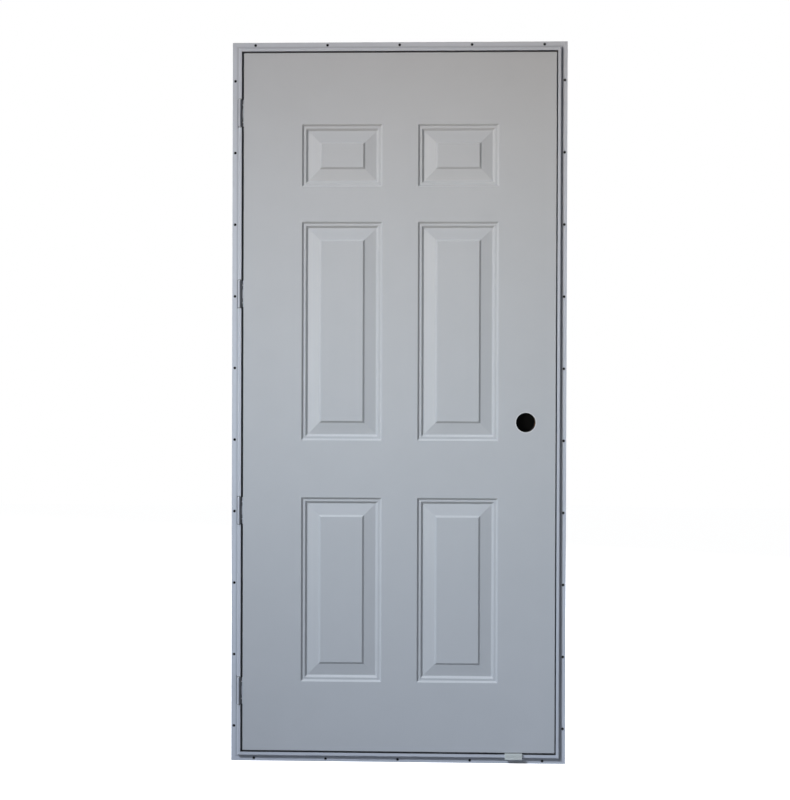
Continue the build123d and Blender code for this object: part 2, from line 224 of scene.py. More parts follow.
class HardwareSizes(bpy.types.PropertyGroup):
    """Sizes of the small pieces, of the painted shade on the frame, and of the painted highlight round
    the bore.
    """

    button_radius: length("Button radius", "Radius of the pins' end buttons", 0.0026)
    button_rise: length("Button rise", "Height of a button", 0.0012)
    # Sizes of the near-black disc in the bore, which is painted shade
    shade_disc_thickness: length("Cap thickness", "Thickness of the cap in the bore", 0.0015)
    shade_disc_inset: length("Cap inset", "How far the cap sits inside the inner face", 0.0025)
    shade_disc_clearance: length("Cap clearance", "Radial room round the cap", 0.0001)
    frame_round: length("Frame round", "Radius of the frame's extruded edges", 0.0004)
    flange_width: length("Flange width", "Width of the flange", 0.0176)
    flange_depth: length("Flange depth", "Thickness of the flange", 0.0018)
    # Width of the painted shade at the foot of the raised face
    foot_width: length("Foot width", "Width of the dirt at the foot of the raised face", 0.01)
    raised_width: length("Raised width", "Width of the raised face", 0.0094)
    gap_width: length("Gap width", "Width of the gap round the door", 0.007)
    # Depth behind the raised face where painted shade in the gap begins, and the width over which
    # painted shade fades in
    shade_fade_depth: length("Paint reach", "Depth of the paint in the gap", 0.002)
    # Depth behind a barrel's axis where painted shade on the hinge leaves begins
    strap_shade_depth: length("Strap reach", "Depth of the paint behind a barrel", 0.0045)
    # Sizes of the painted shade in the notches beside the hinge barrels
    notch_start: length("Notch start", "From the flange's edge to the dirt by a barrel", 0.0135)
    notch_end: length("Notch end", "From the flange's edge to the end of that dirt", 0.036)
    notch_margin: length("Notch margin", "Reach of that dirt past a barrel", 0.0026)
    notch_feather: length("Notch feather", "Width over which that dirt fades", 0.0008)
    # Sizes of the painted shade round the flange's holes
    hole_inset: length("Hole inset", "From the flange's edge to its holes", 0.0075)
    hole_rim: length("Hole rim", "Radius of the dirt round a hole", 0.0046)
    hole_feather: length("Hole feather", "Width over which that dirt fades", 0.0012)
    jamb_hole_low: length("Jamb hole low", "Height of the lowest hole in a jamb", 0.097)
    jamb_hole_pitch: length("Jamb hole pitch", "Spacing of the holes up a jamb", 0.199)
    level_hole_pitch: length("Level hole pitch", "Spacing of the head's and sill's holes", 0.2)
    # Sizes of the painted highlight round the bore
    rim_width: length("Rim width", "Width of the clean ring round the bore", 0.0026)
    rim_feather: length("Rim feather", "Width over which that ring fades", 0.0006)


class StageSettings(bpy.types.PropertyGroup):
    """Camera, lamps, floor and backdrop."""

    camera_place: position("Camera place", "Where the camera stands", (0.0906, -3.5, 1.0218))
    camera_turn: FloatVectorProperty(
        name="Camera turn", description="Pitch, roll and yaw of the camera",
        default=(radians(-0.284), radians(0.177), radians(-1.647)), size=3, subtype="EULER")
    camera_lens: FloatProperty(
        name="Camera lens", description="Focal length on a sensor 36 mm wide", default=57.57,
        unit="CAMERA")
    key_distance: length("Key distance", "How far in front the key lamps hang", 8.0)
    key_radius: length("Key radius", "Radius of a key lamp", 0.8)
    key_slopes: triple("Key slopes", "How far left a lamp hangs per metre in front", (0.84, 0.64, 0.6))
    key_rises: triple("Key rises", "How far a lamp hangs over its aim per metre", (1.05, -0.1, -0.2))
    key_middles: triple("Key middles", "Where a lamp points across", (0.42, 0.64, 0.56), "LENGTH")
    key_heights: triple("Key heights", "Height a lamp points at", (0.1, 1.05, 2.1), "LENGTH")
    key_cones: triple(
        "Key cones", "Angle of a lamp's soft cone", (radians(13.5), radians(15), radians(16)),
        "ROTATION")
    key_stretches: triple("Key stretches", "How much wider than high a cone is", (1.8, 1.6, 1.6))
    key_powers: triple("Key powers", "Power of a lamp", (6751.0, 1556.0, 2035.0), "POWER")
    low_key: colour("Low key", "Colour of the low key lamp", (0.809, 0.885, 1.0))
    middle_key: colour("Middle key", "Colour of the middle key lamp", (0.975, 1.0, 0.924))
    high_key: colour("High key", "Colour of the high key lamp", (1.0, 0.849, 0.732))
    front_place: position("Front place", "Middle of the front lamp", (0.0, -2.2, 1.2))
    front_size: extent("Front size", "Width and height of the front lamp", (2.4, 1.2))
    front_power: power("Front power", "Power of the front lamp", 5.0)
    front_colour: colour("Front colour", "Colour of the front lamp", (1.0, 1.0, 1.0))
    back_place: position("Back place", "Middle of the back lamp", (1.6, 3.4, 2.8))
    back_aim: position("Back aim", "Point that the back lamp faces", (0.0, 0.0, 1.0))
    back_size: extent("Back size", "Width and height of the back lamp", (1.6, 1.6))
    back_power: power("Back power", "Power of the back lamp", 150.0)
    back_colour: colour("Back colour", "Colour of the back lamp", (0.93, 0.97, 1.0))
    ambient: share("Ambient", "Strength of the light from all round", 0.03)
    ambient_colour: colour("Ambient colour", "Colour of that light", (0.85, 0.92, 1.0))
    floor_size: length("Floor size", "Side of the floor", 16.0)
    floor_drop: length("Floor drop", "How far the floor lies under the sill", 0.0006)
    floor_glow: share("Floor glow", "Brightness of the floor's shadows", 0.97)
    floor_colour: colour("Floor colour", "Pale floor", (0.9, 0.9, 0.9))
    floor_bounce: colour("Floor bounce", "Light that the floor sends back up", (0.2, 0.22, 0.26))
    # Painted shade: a dark strip behind the flange's holes
    shade_inset: length("Shade inset", "From the flange's edge to a dark strip", 0.003)
    shade_width: length("Shade width", "Width of the dark strip", 0.01)
    shade_gap: length("Shade gap", "From the flange's back to the dark strip", 0.0006)
    shade_colour: colour("Shade colour", "Colour of the dark strip", (0.01, 0.01, 0.012))


# Shader nodes
def feed(tree, node, inputs):
    """Sets a node's inputs; one that is given a socket is linked."""
    for name, value in inputs.items():
        if isinstance(value, bpy.types.NodeSocket):
            tree.links.new(value, node.inputs[name])
        else:
            node.inputs[name].default_value = value


def add_node(tree, kind, inputs=None, **options):
    """A node with these options and inputs."""
    made = tree.nodes.new(kind)
    for name, value in options.items():
        setattr(made, name, value)
    feed(tree, made, inputs or {})
    return made


def math_node(tree, operation, first, second=0.0):
    """The result of a sum on two values."""
    return add_node(tree, "ShaderNodeMath", {0: first, 1: second}, operation=operation).outputs[0]


def minus(tree, first, second):
    """One value less another."""
    return math_node(tree, "SUBTRACT", first, second)


def times(tree, first, *others):
    """Values multiplied together."""
    for other in others:
        first = math_node(tree, "MULTIPLY", first, other)
    return first


def unsigned(tree, value):
    """A value without its sign."""
    return math_node(tree, "ABSOLUTE", value)


def ranged(tree, value, low, high):
    """A value from nothing to one, stretched between two others."""
    inputs = {"Value": value, "To Min": low, "To Max": high}
    return add_node(tree, "ShaderNodeMapRange", inputs).outputs[0]


def faded(tree, value, width):
    """A value that rises smoothly from nothing to one over a width."""
    inputs = {"Value": value, "From Max": width}
    return add_node(tree, "ShaderNodeMapRange", inputs, interpolation_type="SMOOTHSTEP").outputs[0]


def distance_of(tree, across, up):
    """The length of a line with these two legs."""
    legs = add_node(tree, "ShaderNodeCombineXYZ", {"X": across, "Y": up}).outputs[0]
    return add_node(tree, "ShaderNodeVectorMath", {0: legs}, operation="LENGTH").outputs["Value"]


def blended(tree, factor, first, second):
    """Two colours mixed by a factor."""
    inputs = {0: factor, 6: first, 7: second}
    return add_node(tree, "ShaderNodeMix", inputs, data_type="RGBA").outputs[2]


def opaque(tint, gain=1.0):
    """A colour with full alpha, brighter or darker."""
    return (*(min(channel * gain, 1.0) for channel in tint), 1.0)


def shaded(tree, factor, tint, low, high):
    """A colour that drifts between a darker and a lighter one."""
    return blended(tree, factor, opaque(tint, low), opaque(tint, high))


def object_place(tree):
    """A point's place in its object."""
    return add_node(tree, "ShaderNodeTexCoord").outputs["Object"]


def object_axes(tree):
    """The three axes of a point's place in its object."""
    return add_node(tree, "ShaderNodeSeparateXYZ", {0: object_place(tree)}).outputs


def stretched(tree, place, scale):
    """A place scaled along each axis."""
    return add_node(tree, "ShaderNodeMapping", {"Vector": place, "Scale": scale}).outputs[0]


def noise(tree, place, scale, detail, distortion=0.0):
    """Cloudy noise."""
    inputs = {"Vector": place, "Scale": scale, "Detail": detail, "Distortion": distortion}
    return add_node(tree, "ShaderNodeTexNoise", inputs).outputs["Fac"]


def cells(tree, place, scale):
    """Distance from the middle of the nearest cell."""
    inputs = {"Vector": place, "Scale": scale}
    return add_node(tree, "ShaderNodeTexVoronoi", inputs).outputs["Distance"]


# Effects that materials share
def sprayed_enamel(tree, given):
    """Ripple of sprayed enamel: a height, a faint mottle and a change of gloss."""
    place = object_place(tree)
    wipes = stretched(tree, place, (14.0, 14.0, 1.2))
    return {
        "Height": noise(tree, place, given["Ripples"], detail=2.0),
        "Mottle": noise(tree, place, given["Clouds"], detail=4.0),
        "Gloss": noise(tree, wipes, scale=2.0, detail=5.0)}


def dust_and_top_highlight(tree, given):
    """Dusting where a surface faces up; on the enamel its pale tint is also a painted highlight on
    upward faces.
    """
    normal = add_node(tree, "ShaderNodeNewGeometry").outputs["Normal"]
    upward = add_node(tree, "ShaderNodeSeparateXYZ", {0: normal}).outputs["Z"]
    facing = add_node(tree, "ShaderNodeMapRange", {"Value": upward, "From Min": 0.2}).outputs[0]
    specks = noise(tree, object_place(tree), given["Specks"], detail=3.0)
    return {"Mask": times(tree, facing, specks, given["Amount"])}


def plated_metal(tree, given):
    """Fine drawn lines and plating patches of bare metal."""
    place = object_place(tree)
    drawn = stretched(tree, place, (1.0, 1.0, 0.05))
    return {
        "Height": noise(tree, drawn, given["Lines"], detail=3.0),
        "Patch": cells(tree, place, given["Patches"])}


def softwood_grain(tree, given):
    """Bands and fibres of softwood, drawn out along one axis."""
    scale = add_node(tree, "ShaderNodeCombineXYZ", {axis: given[axis] for axis in "XYZ"}).outputs[0]
    drawn = stretched(tree, object_place(tree), scale)
    return {
        "Bands": noise(tree, drawn, scale=1.0, detail=6.0, distortion=0.6),
        "Fibres": noise(tree, drawn, scale=9.0, detail=3.0)}


def rubber_bloom(tree, given):
    """Cloudy bloom of old rubber."""
    return {"Bloom": noise(tree, object_place(tree), given["Clouds"], detail=4.0)}


def bore_reach(tree, given):
    """One inside a radius round the lockset bore's axis."""
    axes = object_axes(tree)
    across = minus(tree, axes["X"], given["Across"])
    up = minus(tree, axes["Z"], given["Up"])
    inside = minus(tree, given["Radius"], distance_of(tree, across, up))
    return {"Mask": faded(tree, inside, given["Feather"])}


def joint_shade(tree, given):
    """Painted shade in a joint: between two insets from the frame's outline and between two depths."""
    axes = object_axes(tree)
    level = minus(tree, axes["Z"], given["Half height"])
    across = minus(tree, given["Half width"], unsigned(tree, axes["X"]))
    up = minus(tree, given["Half height"], unsigned(tree, level))
    inset = math_node(tree, "MINIMUM", across, up)
    limits = (
        (inset, given["Start inset"], given["Feather"]),
        (given["End inset"], inset, given["Feather"]),
        (axes["Y"], given["Front"], given["Fade"]),
        (given["Back"], axes["Y"], given["Fade"]))
    masks = [faded(tree, minus(tree, more, less), width) for more, less, width in limits]
    return {"Mask": times(tree, *masks, given["Amount"])}


effects = {
    "Sprayed enamel": (sprayed_enamel, {"Ripples": 260.0, "Clouds": 9.0}),
    "Dust and top highlight": (dust_and_top_highlight, {"Amount": 0.3, "Specks": 700.0}),
    "Plated metal": (plated_metal, {"Lines": 900.0, "Patches": 240.0}),
    "Softwood grain": (softwood_grain, {"X": 150.0, "Y": 150.0, "Z": 150.0}),
    "Rubber bloom": (rubber_bloom, {"Clouds": 160.0}),
    "Bore reach": (bore_reach, {
        "Across": bore_center.x, "Up": bore_center.z, "Radius": bore_radius, "Feather": joint_feather}),
    "Joint shade": (joint_shade, {
        "Half width": frame_high.x, "Half height": frame_high.z / 2, "Start inset": -far_reach,
        "End inset": far_reach, "Feather": joint_feather, "Front": 0.0, "Back": far_reach,
        "Fade": joint_feather, "Amount": 1.0}),
}


def shared_group(name):
    """An effect's shader node group, built when it is first asked for."""
    if name in bpy.data.node_groups:
        return bpy.data.node_groups[name]
    build, defaults = effects[name]
    group = bpy.data.node_groups.new(name, "ShaderNodeTree")
    for label, default in defaults.items():
        socket = group.interface.new_socket(label, in_out="INPUT", socket_type="NodeSocketFloat")
        socket.default_value = default
    results = build(group, group.nodes.new("NodeGroupInput").outputs)
    for label in results:
        group.interface.new_socket(label, in_out="OUTPUT", socket_type="NodeSocketFloat")
    end = group.nodes.new("NodeGroupOutput")
    for label, value in results.items():
        group.links.new(value, end.inputs[label])
    return group


def effect(tree, name, values=None):
    """An effect set into a material with its own values."""
    return add_node(tree, "ShaderNodeGroup", values, node_tree=shared_group(name)).outputs


# Painted shade masks of the frame's enamel
def flange_hole_shade_mask(tree, hardware, amount):
    """Painted shade round each hole of the flange."""
    axes = object_axes(tree)
    middle = (frame_low.z + frame_high.z) / 2
    level = unsigned(tree, minus(tree, axes["Z"], middle))
    jamb_across = minus(tree, unsigned(tree, axes["X"]), frame_high.x - hardware.hole_inset)
    jamb_start = minus(tree, axes["Z"], hardware.jamb_hole_low)
    jamb_up = math_node(tree, "PINGPONG", jamb_start, hardware.jamb_hole_pitch / 2)
    level_across = math_node(tree, "PINGPONG", axes["X"], hardware.level_hole_pitch / 2)
    level_up = minus(tree, level, frame_high.z - middle - hardware.hole_inset)
    jamb = distance_of(tree, jamb_across, jamb_up)
    nearest = math_node(tree, "MINIMUM", jamb, distance_of(tree, level_across, level_up))
    inside = minus(tree, hardware.hole_rim, nearest)
    return times(tree, faded(tree, inside, hardware.hole_feather), amount)


def notch_shade_mask(tree, hardware, amount):
    """Painted shade in the notches round the hinge barrels."""
    axes = object_axes(tree)
    inset = minus(tree, axes["X"], frame_low.x)
    started = faded(tree, minus(tree, inset, hardware.notch_start), hardware.notch_feather)
    ended = faded(tree, minus(tree, hardware.notch_end, inset), hardware.notch_feather)
    beside = 0.0
    for number in range(1, hinge_count + 1):
        low, high = corners_of(f"hinge_{number}_pin")
        away = unsigned(tree, minus(tree, axes["Z"], (low.z + high.z) / 2))
        inside = minus(tree, (high.z - low.z) / 2 + hardware.notch_margin, away)
        beside = math_node(tree, "MAXIMUM", beside, faded(tree, inside, hardware.notch_feather))
    front = faded(tree, minus(tree, 0.0, axes["Y"]), hardware.flange_depth)
    return times(tree, started, ended, beside, front, amount)


# Materials
def new_material(name):
    """A material with its surface shader alone, and its node tree."""
    material = bpy.data.materials.new(name)
    material.use_nodes = True
    return material, material.node_tree


def surfaced(material, inputs):
    """A material with these inputs on its surface shader."""
    feed(material.node_tree, material.node_tree.nodes["Principled BSDF"], inputs)
    return material


def bumped(tree, height, depth):
    """A normal bumped by a height."""
    inputs = {"Height": height, "Distance": depth, "Strength": 1.0}
    return add_node(tree, "ShaderNodeBump", inputs).outputs["Normal"]


def painted_light_over(material, mask, tint):
    """Mixes a tint of painted light over a material's colour where a mask says: painted shade mostly, a
    painted highlight round the bore.
    """
    tree = material.node_tree
    base = tree.nodes["Principled BSDF"].inputs["Base Color"].links[0].from_socket
    surfaced(material, {"Base Color": blended(tree, mask, base, opaque(tint))})


def enamel(name, tint, finishes, ripples, dust_and_highlight):
    """Sprayed enamel with its ripple, faint clouds, and a pale tint on upward faces that is partly
    settled dusting and partly a painted highlight.
    """
    material, tree = new_material(name)
    peel = effect(tree, "Sprayed enamel", {"Ripples": ripples})
    mask = effect(tree, "Dust and top highlight", {"Amount": dust_and_highlight})["Mask"]
    clouded = shaded(tree, peel["Mottle"], tint, low=0.97, high=1.03)
    smooth = finishes.paint_roughness - finishes.gloss_drift
    rough = finishes.paint_roughness + finishes.gloss_drift
    return surfaced(material, {
        "Base Color": blended(tree, mask, clouded, opaque(finishes.dust_and_highlight)),
        "Roughness": ranged(tree, peel["Gloss"], smooth, rough),
        "Specular IOR Level": finishes.paint_gloss,
        "Normal": bumped(tree, peel["Height"], finishes.peel_depth)})


def softwood(name, finishes, along, scale=3.0):
    """Bare softwood with its grain drawn out along one axis."""
    material, tree = new_material(name)
    grain = effect(tree, "Softwood grain", {along: scale})
    bands = ranged(tree, grain["Bands"], low=-0.6, high=1.6)
    return surfaced(material, {
        "Base Color": blended(tree, bands, opaque(finishes.timber_grain), opaque(finishes.timber)),
        "Roughness": ranged(tree, grain["Fibres"], low=0.7, high=0.9),
        "Normal": bumped(tree, grain["Fibres"], finishes.grain_depth)})


def core_foam(name, finishes):
    """Closed-cell foam."""
    material, tree = new_material(name)
    pores = cells(tree, object_place(tree), scale=420.0)
    return surfaced(material, {
        "Base Color": shaded(tree, pores, finishes.foam, low=0.8, high=1.0),
        "Roughness": 0.95,
        "Normal": bumped(tree, pores, finishes.cell_depth)})


def seal_rubber(name, tint, finishes, gloss):
    """Matte rubber with a little bloom and dust."""
    material, tree = new_material(name)
    mask = effect(tree, "Dust and top highlight", {"Amount": 0.12, "Specks": 1500.0})["Mask"]
    bloom = effect(tree, "Rubber bloom")["Bloom"]
    bloomed = shaded(tree, bloom, tint, low=0.7, high=1.8)
    return surfaced(material, {
        "Base Color": blended(tree, mask, bloomed, opaque(finishes.rubber_dust)),
        "Roughness": ranged(tree, bloom, low=0.55, high=0.8),
        "Specular IOR Level": gloss,
        "Normal": bumped(tree, bloom, finishes.bloom_depth)})


def moulded_plastic(name, finishes):
    """Moulded plastic with a fine satin grain."""
    material, tree = new_material(name)
    peel = effect(tree, "Sprayed enamel", {"Ripples": 1400.0, "Clouds": 60.0})
    mask = effect(tree, "Dust and top highlight", {"Amount": 0.3})["Mask"]
    clouded = shaded(tree, peel["Mottle"], finishes.clip, low=0.94, high=1.05)
    return surfaced(material, {
        "Base Color": blended(tree, mask, clouded, opaque(finishes.clip_dust)),
        "Roughness": ranged(tree, peel["Gloss"], low=0.38, high=0.52),
        "Normal": bumped(tree, peel["Height"], finishes.satin_depth)})


def plated(name, tint, finishes, smooth, rough):
    """Zinc plated or mill finish metal."""
    material, tree = new_material(name)
    metal = effect(tree, "Plated metal")
    return surfaced(material, {
        "Base Color": shaded(tree, metal["Patch"], tint, low=0.85, high=1.1),
        "Roughness": ranged(tree, metal["Height"], smooth, rough),
        "Normal": bumped(tree, metal["Height"], finishes.drawn_depth),
        "Metallic": 1.0})


def paint_nodes(names, material):
    """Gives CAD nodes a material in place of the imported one."""
    for name in names:
        mesh = frame["nodes"][name].data
        mesh.materials.clear()
        mesh.materials.append(material)


# Meshes
def placed(name, data):
    """A new object in the scene."""
    made = bpy.data.objects.new(name, data)
    bpy.context.collection.objects.link(made)
    return made


def finish_piece(bm, name, body, material):
    """Turns a bmesh into a piece that rides on a body."""
    mesh = bpy.data.meshes.new(name)
    bm.to_mesh(mesh)
    bm.free()
    mesh.materials.append(material)
    piece = placed(name, mesh)
    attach(piece, body)
    return piece


def rounded_profile(corners, radius, steps=4):
    """A line through these corners with each inner one rounded to a tangent arc."""
    points = [corners[0]]
    for before, corner, after in zip(corners, corners[1:], corners[2:]):
        back = Vector(before) - Vector(corner)
        ahead = Vector(after) - Vector(corner)
        half = back.angle(ahead) / 2
        tangent = radius / tan(half)
        back.normalize()
        ahead.normalize()
        middle = Vector(corner) + (back + ahead).normalized() * (radius / sin(half))
        first = Vector(corner) + back * tangent - middle
        last = Vector(corner) + ahead * tangent - middle
        for step in range(steps + 1):
            part = step / steps
            spoke = (first * (1 - part) + last * part).normalized() * radius
            points.append(tuple(middle + spoke))
    points.append(corners[-1])
    return points


def rounded_rectangle(center, half_width, half_height, radius, steps=3):
    """Points round a rectangle with rounded corners, counterclockwise."""
    points = []
    for quarter, (side, level) in enumerate(((1, 1), (-1, 1), (-1, -1), (1, -1))):
        for step in range(steps + 1):
            angle = (quarter + step / steps) * pi / 2
            across = center[0] + side * (half_width - radius) + radius * cos(angle)
            up = center[1] + level * (half_height - radius) + radius * sin(angle)
            points.append((across, up))
    return points


def circle(radius, steps):
    """Points round a circle, counterclockwise."""
    turns = [step * 2 * pi / steps for step in range(steps)]
    return [(radius * cos(turn), radius * sin(turn)) for turn in turns]


def ring_of(bm, points, depth):
    """A closed ring of vertices at this depth behind the XZ plane."""
    return [bm.verts.new((across, depth, up)) for across, up in points]


def ring_edges(bm, ring):
    """The edges round a ring."""
    pairs = zip(ring, ring[1:] + ring[:1])
    return [bm.edges.get(pair) or bm.edges.new(pair) for pair in pairs]


def join_rings(bm, rings):
    """Bands of four-sided faces between each ring and the next."""
    for first, second in zip(rings, rings[1:]):
        for here in range(len(first)):
            there = (here + 1) % len(first)
            bm.faces.new((first[here], first[there], second[there], second[here]))


def moulding_rings(bm, center, size, profile, radius):
    """Rings that follow a profile of inset and depth round a rectangle, joined into bands."""
    rings = []
    for inset, depth in profile:
        outline = rounded_rectangle(center, size[0] / 2 - inset, size[1] / 2 - inset, radius)
        rings.append(ring_of(bm, outline, depth))
    join_rings(bm, rings)
    return rings


def panel_profile(sizes):
    """Inset and depth along a panel's moulding, from the face to the raised field."""
    lead = 2 * sizes.press_radius
    land = sizes.bead_run + sizes.land_width
    floor = land + sizes.groove_run
    bevel = floor + sizes.groove_floor
    step = bevel + sizes.bevel_run
    field = step + sizes.step_run
    step_depth = sizes.groove_depth - sizes.bevel_rise
    field_depth = step_depth - sizes.step_rise
    corners = [
        (-lead, 0), (0, 0), (sizes.bead_run, sizes.bead_depth), (land, sizes.bead_depth),
        (floor, sizes.groove_depth), (bevel, sizes.groove_depth), (step, step_depth),
        (field, field_depth), (field + lead, field_depth)]
    return rounded_profile(corners, sizes.press_radius)


def panel_places(sizes):
    """Middle and size of each of the six panels."""
    slab = slab_high - slab_low
    width = (slab.x - 2 * sizes.side_margin - sizes.mullion) / 2
    reach = (width + sizes.mullion) / 2
    middle = (slab_low.x + slab_high.x) / 2 + sizes.panel_offset
    rails = sizes.bottom_margin + sizes.lock_rail + sizes.upper_rail + sizes.top_margin
    heights = [part * (slab.z - rails) for part in sizes.panel_height_shares]
    levels = [slab_low.z + sizes.bottom_margin]
    levels.append(levels[0] + heights[0] + sizes.lock_rail)
    levels.append(levels[1] + heights[1] + sizes.upper_rail)
    return [
        ((middle + side * reach, level + height / 2), (width, height))
        for level, height in zip(levels, heights) for side in (-1, 1)]


def pressed_skin(sizes, low, high, edge_profile, facing):
    """A sheet with six pressed panels, the bore and a folded edge."""
    bm = bmesh.new()
    center = ((low.x + high.x) / 2, (low.z + high.z) / 2)
    size = (high.x - low.x, high.z - low.z)
    edge = moulding_rings(bm, center, size, edge_profile, sizes.corner_radius)
    outlines = [edge[0]]
    profile = panel_profile(sizes)
    for place, panel in panel_places(sizes):
        rings = moulding_rings(bm, place, panel, profile, sizes.corner_radius)
        bm.faces.new(rings[-1])
        outlines.append(rings[0])
    spokes = circle(bore_radius, bore_segments)
    bore = [(bore_center.x + across, bore_center.z + up) for across, up in spokes]
    outlines.append(ring_of(bm, bore, 0.0))
    edges = [line for outline in outlines for line in ring_edges(bm, outline)]
    filled = bmesh.ops.triangle_fill(bm, use_beauty=True, use_dissolve=False, edges=edges)
    flat = next(face for face in filled["geom"] if isinstance(face, bmesh.types.BMFace))
    bmesh.ops.recalc_face_normals(bm, faces=bm.faces)
    if flat.normal.y > 0:
        bmesh.ops.reverse_faces(bm, faces=bm.faces)
    if facing > 0:
        bmesh.ops.scale(bm, vec=(1, -1, 1), verts=bm.verts)
        bmesh.ops.reverse_faces(bm, faces=bm.faces)
    surface = low.y if facing < 0 else high.y
    bmesh.ops.translate(bm, vec=(0, surface, 0), verts=bm.verts)
    for face in bm.faces:
        face.smooth = True
    return bm


def thicken(piece, thickness):
    """Gives a sheet its thickness, and lets its flat faces lead the shading."""
    solid = piece.modifiers.new("Sheet thickness", "SOLIDIFY")
    solid.thickness = thickness
    solid.offset = -1.0
    weighted = piece.modifiers.new("Flat faces lead", "WEIGHTED_NORMAL")
    weighted.weight = 100
    weighted.keep_sharp = True


def round_edges(name, radius):
    """Rounds a CAD node's hard edges without touching its mesh."""
    piece = frame["nodes"][name]
    weld = piece.modifiers.new("Join corners", "WELD")
    weld.merge_threshold = weld_reach
    flat = piece.modifiers.new("Join flat faces", "DECIMATE")
    flat.decimate_type = "DISSOLVE"
    flat.angle_limit = flat_angle
    bevel = piece.modifiers.new("Round edges", "BEVEL")
    bevel.width = radius
    bevel.segments = 2
    bevel.limit_method = "ANGLE"
    bevel.angle_limit = sharp_angle
    bevel.harden_normals = True


def lathe(bm, profile, base, axis, steps=32):
    """A turned form: radius and height along an axis from a base point."""
    turn = Vector((0, 0, 1)).rotation_difference(Vector(axis)).to_matrix()
    rings = []
    for radius, height in profile:
        points = [Vector((across, up, height)) for across, up in circle(radius, steps)]
        rings.append([bm.verts.new(Vector(base) + turn @ point) for point in points])
    join_rings(bm, rings)
    bm.faces.new(rings[-1])
    bm.faces.new(list(reversed(rings[0])))


# Steps
class DOOR_OT_paint_frame(bpy.types.Operator):
    """Paint the four frame members, with painted shade at their joints, gap, notches and holes, and
    round their extruded edges
    """

    bl_idname = "door.paint_frame"
    bl_label = "Paint the frame"

    def execute(self, context):
        finishes = context.scene.door_finishes
        hardware = context.scene.door_hardware
        names = ("frame_head", "frame_sill", "hinge_jamb", "strike_jamb")
        raised_front = corners_of("frame_head")[0].y
        inner = hardware.flange_width + hardware.raised_width
        # Painted shade along the foot of the raised face, where the raised wall shades the flange
        foot = {
            "Start inset": hardware.flange_width - hardware.foot_width, "End inset": inner,
            "Feather": hardware.foot_width, "Front": -2 * hardware.flange_depth, "Back": 0.0,
            "Fade": hardware.flange_depth, "Amount": finishes.foot_shade}
        # Painted shade on the walls and ledge of the gap round the door, which lie in shade
        gap = {
            "Start inset": inner - hardware.flange_depth, "End inset": inner + hardware.gap_width,
            "Front": raised_front + hardware.shade_fade_depth, "Back": 0.0, "Fade": hardware.shade_fade_depth,
            "Amount": finishes.gap_shade}
        paint = enamel("Frame enamel", finishes.frame_paint, finishes, ripples=420.0, dust_and_highlight=0.35)
        tree = paint.node_tree
        for joint in (foot, gap):
            painted_light_over(paint, effect(tree, "Joint shade", joint)["Mask"], finishes.painted_shade)
        # Painted shade in the notches beside the hinge barrels
        painted_light_over(paint, notch_shade_mask(tree, hardware, finishes.notch_shade), finishes.painted_shade)
        # Painted shade round the flange's holes
        painted_light_over(paint, flange_hole_shade_mask(tree, hardware, finishes.hole_ring_shade), finishes.painted_shade)
        paint_nodes(names, paint)
        mill = plated("Mill aluminium", finishes.aluminium, finishes, smooth=0.32, rough=0.52)
        paint_nodes(("corner_keys",), mill)
        for name in names:
            round_edges(name, hardware.frame_round)
        return {"FINISHED"}


class DOOR_OT_press_skins(bpy.types.Operator):
    """Press the outer and inner steel skins with their rounded mouldings"""

    bl_idname = "door.press_skins"
    bl_label = "Press the skins"

    def execute(self, context):
        sizes = context.scene.door_pressing
        finishes = context.scene.door_finishes
        hardware = context.scene.door_hardware
        # Its upward faces get a pale tint that is partly dusting and partly a painted highlight
        paint = enamel("Door enamel", finishes.door_paint, finishes, ripples=300.0, dust_and_highlight=0.9)
        # Painted highlight: a lighter ring round the bore's edge
        ring = {"Radius": bore_radius + hardware.rim_width, "Feather": hardware.rim_feather}
        painted_light_over(paint, effect(paint.node_tree, "Bore reach", ring)["Mask"], finishes.bore_edge_highlight)
        lead = 2 * sizes.fold_radius
        lip = sizes.lip_thickness
        outer_edge = rounded_profile(
            [(lead, 0), (0, 0), (0, lip), (sizes.lip_overhang, lip)], sizes.fold_radius)
        outer = pressed_skin(sizes, slab_low, slab_high, outer_edge, facing=-1)
        outer_piece = finish_piece(outer, "outer_skin_pressing", "door", paint)
        thicken(outer_piece, sizes.sheet)
        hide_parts("outer_skin")
        inner_edge = rounded_profile([(lead, 0), (0, 0), (0, sizes.inner_fold)], sizes.fold_radius)
        inner = pressed_skin(sizes, body_low, body_high, inner_edge, facing=1)
        inner_piece = finish_piece(inner, "inner_skin_pressing", "door", paint)
        thicken(inner_piece, sizes.sheet)
        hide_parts("inner_skin")
        return {"FINISHED"}


class DOOR_OT_finish_core(bpy.types.Operator):
    """Finish the timber edge, the lock block and the foam core"""

    bl_idname = "door.finish_core"
    bl_label = "Finish the core"

    def execute(self, context):
        finishes = context.scene.door_finishes
        feather = context.scene.door_hardware.rim_feather
        upright = softwood("Softwood upright", finishes, along="Z")
        # Painted shade on the timber round the lockset bore
        wall = {"Radius": bore_radius + 2 * feather, "Feather": feather}
        painted_light_over(upright, effect(upright.node_tree, "Bore reach", wall)["Mask"], finishes.bore_timber_shade)
        paint_nodes(("hinge_stile", "lock_stile", "lock_block"), upright)
        paint_nodes(("top_rail", "bottom_rail"), softwood("Softwood level", finishes, along="X"))
        paint_nodes(("foam_core",), core_foam("Core foam", finishes))
        return {"FINISHED"}


